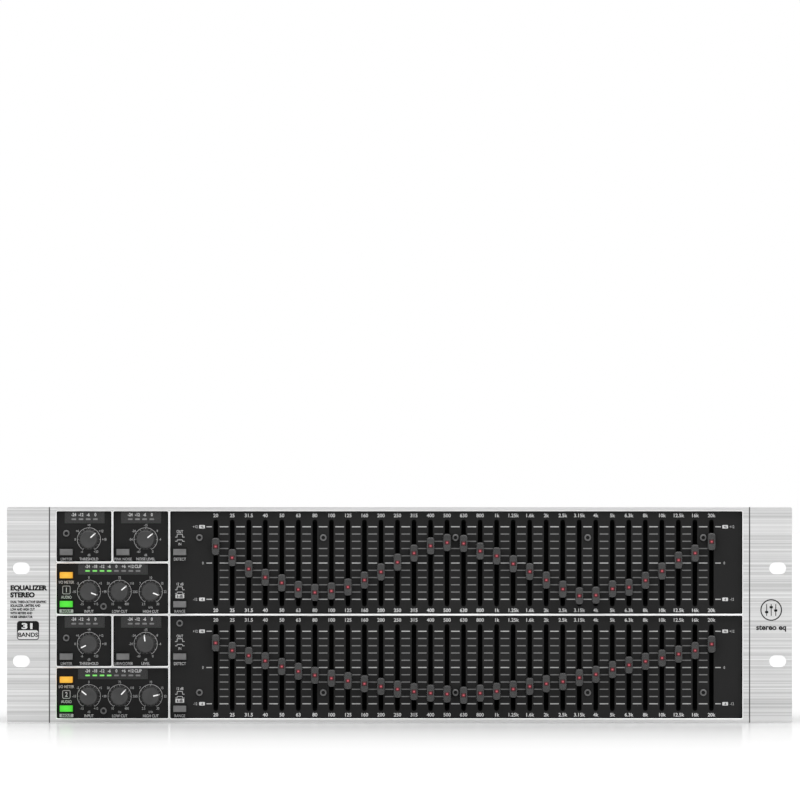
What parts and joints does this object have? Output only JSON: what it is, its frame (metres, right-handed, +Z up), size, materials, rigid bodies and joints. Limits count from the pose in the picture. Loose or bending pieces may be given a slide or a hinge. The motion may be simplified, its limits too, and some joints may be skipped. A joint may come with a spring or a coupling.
{
  "type": "graphic equalizer",
  "caption": "Rack-mount stereo graphic equalizer: brushed ears, windowed black control plate, rows of slide faders, rotary knobs, push buttons and a steel case.",
  "frame": {"origin": "middle of the footprint, on the surface that the unit stands on", "axes": "+X to the right seen from the front, +Y to the rear, +Z up; the controls face -Y"},
  "size_m": [0.4826, 0.215, 0.1325],
  "materials": {
    "brushed_aluminium": "brushed along its length, clear anodised",
    "control_plate": "fine matt black powder coat, printed in white",
    "case_paint": "textured black powder coat",
    "smoked_lens": "smoked, semi-gloss",
    "track_steel": "zinc plated",
    "fader_cap": "fine moulded texture",
    "knob_plastic": "soft-touch moulding, satin tip",
    "button_grey": "satin moulding",
    "button_amber": "translucent, lit from behind",
    "button_green": "translucent, lit from behind",
    "pot_housing": "moulded",
    "switch_housing": "moulded",
    "circuit_board": "green solder mask",
    "winding_wrap": "wound tape, satin",
    "connector_metal": "satin nickel plate",
    "jack_plastic": "moulded, with a nickel nut",
    "mains_plastic": "moulded",
    "rocker_plastic": "satin moulding",
    "screw_steel": "blackened steel"
  },
  "bodies": {
    "chassis": {"front_panel": "brushed_aluminium", "control_plate": "control_plate", "chassis_tray": "case_paint", "top_cover": "case_paint", "meter_windows": "smoked_lens", "fader_tracks": "track_steel", "third_octave_caps": "fader_cap", "rotary_pots": "pot_housing", "push_switches": "switch_housing", "control_board": "circuit_board", "fader_board": "circuit_board", "main_board": "circuit_board", "toroidal_transformer": "winding_wrap", "xlr_connectors": "connector_metal", "jack_connectors": "jack_plastic", "mains_fittings": "mains_plastic", "screws": "screw_steel"},
    "fader_1_31hz": {"fader_1_31hz": "fader_cap"},
    "fader_1_63hz": {"fader_1_63hz": "fader_cap"},
    "fader_1_125hz": {"fader_1_125hz": "fader_cap"},
    "fader_1_250hz": {"fader_1_250hz": "fader_cap"},
    "fader_1_500hz": {"fader_1_500hz": "fader_cap"},
    "fader_1_1khz": {"fader_1_1khz": "fader_cap"},
    "fader_1_2khz": {"fader_1_2khz": "fader_cap"},
    "fader_1_4khz": {"fader_1_4khz": "fader_cap"},
    "fader_1_8khz": {"fader_1_8khz": "fader_cap"},
    "fader_1_16khz": {"fader_1_16khz": "fader_cap"},
    "knob_threshold_1": {"knob_threshold_1": "knob_plastic"},
    "knob_noise_level": {"knob_noise_level": "knob_plastic"},
    "knob_input_1": {"knob_input_1": "knob_plastic"},
    "knob_low_cut_1": {"knob_low_cut_1": "knob_plastic"},
    "knob_high_cut_1": {"knob_high_cut_1": "knob_plastic"},
    "button_limiter_1": {"button_limiter_1": "button_grey"},
    "button_pink_noise": {"button_pink_noise": "button_grey"},
    "button_meter_1": {"button_meter_1": "button_amber"},
    "button_in_out_1": {"button_in_out_1": "button_green"},
    "button_detect_1": {"button_detect_1": "button_grey"},
    "button_range_1": {"button_range_1": "button_grey"},
    "fader_2_31hz": {"fader_2_31hz": "fader_cap"},
    "fader_2_63hz": {"fader_2_63hz": "fader_cap"},
    "fader_2_125hz": {"fader_2_125hz": "fader_cap"},
    "fader_2_250hz": {"fader_2_250hz": "fader_cap"},
    "fader_2_500hz": {"fader_2_500hz": "fader_cap"},
    "fader_2_1khz": {"fader_2_1khz": "fader_cap"},
    "fader_2_2khz": {"fader_2_2khz": "fader_cap"},
    "fader_2_4khz": {"fader_2_4khz": "fader_cap"},
    "fader_2_8khz": {"fader_2_8khz": "fader_cap"},
    "fader_2_16khz": {"fader_2_16khz": "fader_cap"},
    "knob_threshold_2": {"knob_threshold_2": "knob_plastic"},
    "knob_subwoofer_level": {"knob_subwoofer_level": "knob_plastic"},
    "knob_input_2": {"knob_input_2": "knob_plastic"},
    "knob_low_cut_2": {"knob_low_cut_2": "knob_plastic"},
    "knob_high_cut_2": {"knob_high_cut_2": "knob_plastic"},
    "button_limiter_2": {"button_limiter_2": "button_grey"},
    "button_subwoofer": {"button_subwoofer": "button_grey"},
    "button_meter_2": {"button_meter_2": "button_amber"},
    "button_in_out_2": {"button_in_out_2": "button_green"},
    "button_detect_2": {"button_detect_2": "button_grey"},
    "button_range_2": {"button_range_2": "button_grey"},
    "power_rocker": {"power_rocker": "rocker_plastic"}
  },
  "joints": [
    {"name": "fader_1_31hz_slide", "type": "slide", "parent": "chassis", "child": "fader_1_31hz", "axis": [0, 0, 1], "range_m": [-0.01897, 0.02603]},
    {"name": "fader_1_63hz_slide", "type": "slide", "parent": "chassis", "child": "fader_1_63hz", "axis": [0, 0, 1], "range_m": [-0.00633, 0.03867]},
    {"name": "fader_1_125hz_slide", "type": "slide", "parent": "chassis", "child": "fader_1_125hz", "axis": [0, 0, 1], "range_m": [-0.00782, 0.03718]},
    {"name": "fader_1_250hz_slide", "type": "slide", "parent": "chassis", "child": "fader_1_250hz", "axis": [0, 0, 1], "range_m": [-0.02306, 0.02194]},
    {"name": "fader_1_500hz_slide", "type": "slide", "parent": "chassis", "child": "fader_1_500hz", "axis": [0, 0, 1], "range_m": [-0.03514, 0.00986]},
    {"name": "fader_1_1khz_slide", "type": "slide", "parent": "chassis", "child": "fader_1_1khz", "axis": [0, 0, 1], "range_m": [-0.02696, 0.01804]},
    {"name": "fader_1_2khz_slide", "type": "slide", "parent": "chassis", "child": "fader_1_2khz", "axis": [0, 0, 1], "range_m": [-0.01209, 0.03291]},
    {"name": "fader_1_4khz_slide", "type": "slide", "parent": "chassis", "child": "fader_1_4khz", "axis": [0, 0, 1], "range_m": [-0.0028, 0.0422]},
    {"name": "fader_1_8khz_slide", "type": "slide", "parent": "chassis", "child": "fader_1_8khz", "axis": [0, 0, 1], "range_m": [-0.01191, 0.03309]},
    {"name": "fader_1_16khz_slide", "type": "slide", "parent": "chassis", "child": "fader_1_16khz", "axis": [0, 0, 1], "range_m": [-0.02863, 0.01637]},
    {"name": "knob_threshold_1_turn", "type": "hinge", "parent": "chassis", "child": "knob_threshold_1", "pos_m": [-0.191, -0.096, 0.1126], "axis": [0, 1, 0], "range_deg": [-197, 103]},
    {"name": "knob_noise_level_turn", "type": "hinge", "parent": "chassis", "child": "knob_noise_level", "pos_m": [-0.1561, -0.096, 0.1126], "axis": [0, 1, 0], "range_deg": [-201, 99]},
    {"name": "knob_input_1_turn", "type": "hinge", "parent": "chassis", "child": "knob_input_1", "pos_m": [-0.191, -0.096, 0.0804], "axis": [0, 1, 0], "range_deg": [-260, 40]},
    {"name": "knob_low_cut_1_turn", "type": "hinge", "parent": "chassis", "child": "knob_low_cut_1", "pos_m": [-0.1721, -0.096, 0.0804], "axis": [0, 1, 0], "range_deg": [-200, 100]},
    {"name": "knob_high_cut_1_turn", "type": "hinge", "parent": "chassis", "child": "knob_high_cut_1", "pos_m": [-0.153, -0.096, 0.0804], "axis": [0, 1, 0], "range_deg": [-261, 39]},
    {"name": "button_limiter_1_press", "type": "slide", "parent": "chassis", "child": "button_limiter_1", "axis": [0, 1, 0], "range_m": [0, 0.0025], "stiffness_N_per_m": 500},
    {"name": "button_pink_noise_press", "type": "slide", "parent": "chassis", "child": "button_pink_noise", "axis": [0, 1, 0], "range_m": [0, 0.0025], "stiffness_N_per_m": 500},
    {"name": "button_meter_1_press", "type": "slide", "parent": "chassis", "child": "button_meter_1", "axis": [0, 1, 0], "range_m": [0, 0.0025], "stiffness_N_per_m": 500},
    {"name": "button_in_out_1_press", "type": "slide", "parent": "chassis", "child": "button_in_out_1", "axis": [0, 1, 0], "range_m": [0, 0.0025], "stiffness_N_per_m": 500},
    {"name": "button_detect_1_press", "type": "slide", "parent": "chassis", "child": "button_detect_1", "axis": [0, 1, 0], "range_m": [0, 0.0025], "stiffness_N_per_m": 500},
    {"name": "button_range_1_press", "type": "slide", "parent": "chassis", "child": "button_range_1", "axis": [0, 1, 0], "range_m": [0, 0.0025], "stiffness_N_per_m": 500},
    {"name": "fader_2_31hz_slide", "type": "slide", "parent": "chassis", "child": "fader_2_31hz", "axis": [0, 0, 1], "range_m": [-0.02993, 0.01507]},
    {"name": "fader_2_63hz_slide", "type": "slide", "parent": "chassis", "child": "fader_2_63hz", "axis": [0, 0, 1], "range_m": [-0.02027, 0.02473]},
    {"name": "fader_2_125hz_slide", "type": "slide", "parent": "chassis", "child": "fader_2_125hz", "axis": [0, 0, 1], "range_m": [-0.01451, 0.03049]},
    {"name": "fader_2_250hz_slide", "type": "slide", "parent": "chassis", "child": "fader_2_250hz", "axis": [0, 0, 1], "range_m": [-0.00931, 0.03569]},
    {"name": "fader_2_500hz_slide", "type": "slide", "parent": "chassis", "child": "fader_2_500hz", "axis": [0, 0, 1], "range_m": [-0.00633, 0.03867]},
    {"name": "fader_2_1khz_slide", "type": "slide", "parent": "chassis", "child": "fader_2_1khz", "axis": [0, 0, 1], "range_m": [-0.008, 0.037]},
    {"name": "fader_2_2khz_slide", "type": "slide", "parent": "chassis", "child": "fader_2_2khz", "axis": [0, 0, 1], "range_m": [-0.01265, 0.03235]},
    {"name": "fader_2_4khz_slide", "type": "slide", "parent": "chassis", "child": "fader_2_4khz", "axis": [0, 0, 1], "range_m": [-0.01841, 0.02659]},
    {"name": "fader_2_8khz_slide", "type": "slide", "parent": "chassis", "child": "fader_2_8khz", "axis": [0, 0, 1], "range_m": [-0.0264, 0.0186]},
    {"name": "fader_2_16khz_slide", "type": "slide", "parent": "chassis", "child": "fader_2_16khz", "axis": [0, 0, 1], "range_m": [-0.03309, 0.01191]},
    {"name": "knob_threshold_2_turn", "type": "hinge", "parent": "chassis", "child": "knob_threshold_2", "pos_m": [-0.191, -0.096, 0.04835], "axis": [0, 1, 0], "range_deg": [-34, 266]},
    {"name": "knob_subwoofer_level_turn", "type": "hinge", "parent": "chassis", "child": "knob_subwoofer_level", "pos_m": [-0.1561, -0.096, 0.04835], "axis": [0, 1, 0], "range_deg": [-143, 157]},
    {"name": "knob_input_2_turn", "type": "hinge", "parent": "chassis", "child": "knob_input_2", "pos_m": [-0.191, -0.096, 0.01615], "axis": [0, 1, 0], "range_deg": [-99, 201]},
    {"name": "knob_low_cut_2_turn", "type": "hinge", "parent": "chassis", "child": "knob_low_cut_2", "pos_m": [-0.1721, -0.096, 0.01615], "axis": [0, 1, 0], "range_deg": [-193, 107]},
    {"name": "knob_high_cut_2_turn", "type": "hinge", "parent": "chassis", "child": "knob_high_cut_2", "pos_m": [-0.153, -0.096, 0.01615], "axis": [0, 1, 0], "range_deg": [-228, 72]},
    {"name": "button_limiter_2_press", "type": "slide", "parent": "chassis", "child": "button_limiter_2", "axis": [0, 1, 0], "range_m": [0, 0.0025], "stiffness_N_per_m": 500},
    {"name": "button_subwoofer_press", "type": "slide", "parent": "chassis", "child": "button_subwoofer", "axis": [0, 1, 0], "range_m": [0, 0.0025], "stiffness_N_per_m": 500},
    {"name": "button_meter_2_press", "type": "slide", "parent": "chassis", "child": "button_meter_2", "axis": [0, 1, 0], "range_m": [0, 0.0025], "stiffness_N_per_m": 500},
    {"name": "button_in_out_2_press", "type": "slide", "parent": "chassis", "child": "button_in_out_2", "axis": [0, 1, 0], "range_m": [0, 0.0025], "stiffness_N_per_m": 500},
    {"name": "button_detect_2_press", "type": "slide", "parent": "chassis", "child": "button_detect_2", "axis": [0, 1, 0], "range_m": [0, 0.0025], "stiffness_N_per_m": 500},
    {"name": "button_range_2_press", "type": "slide", "parent": "chassis", "child": "button_range_2", "axis": [0, 1, 0], "range_m": [0, 0.0025], "stiffness_N_per_m": 500},
    {"name": "power_rocker_tilt", "type": "hinge", "parent": "chassis", "child": "power_rocker", "pos_m": [0.19, 0.0988, 0.074], "axis": [1, 0, 0], "range_deg": [-24, 0]}
  ]
}
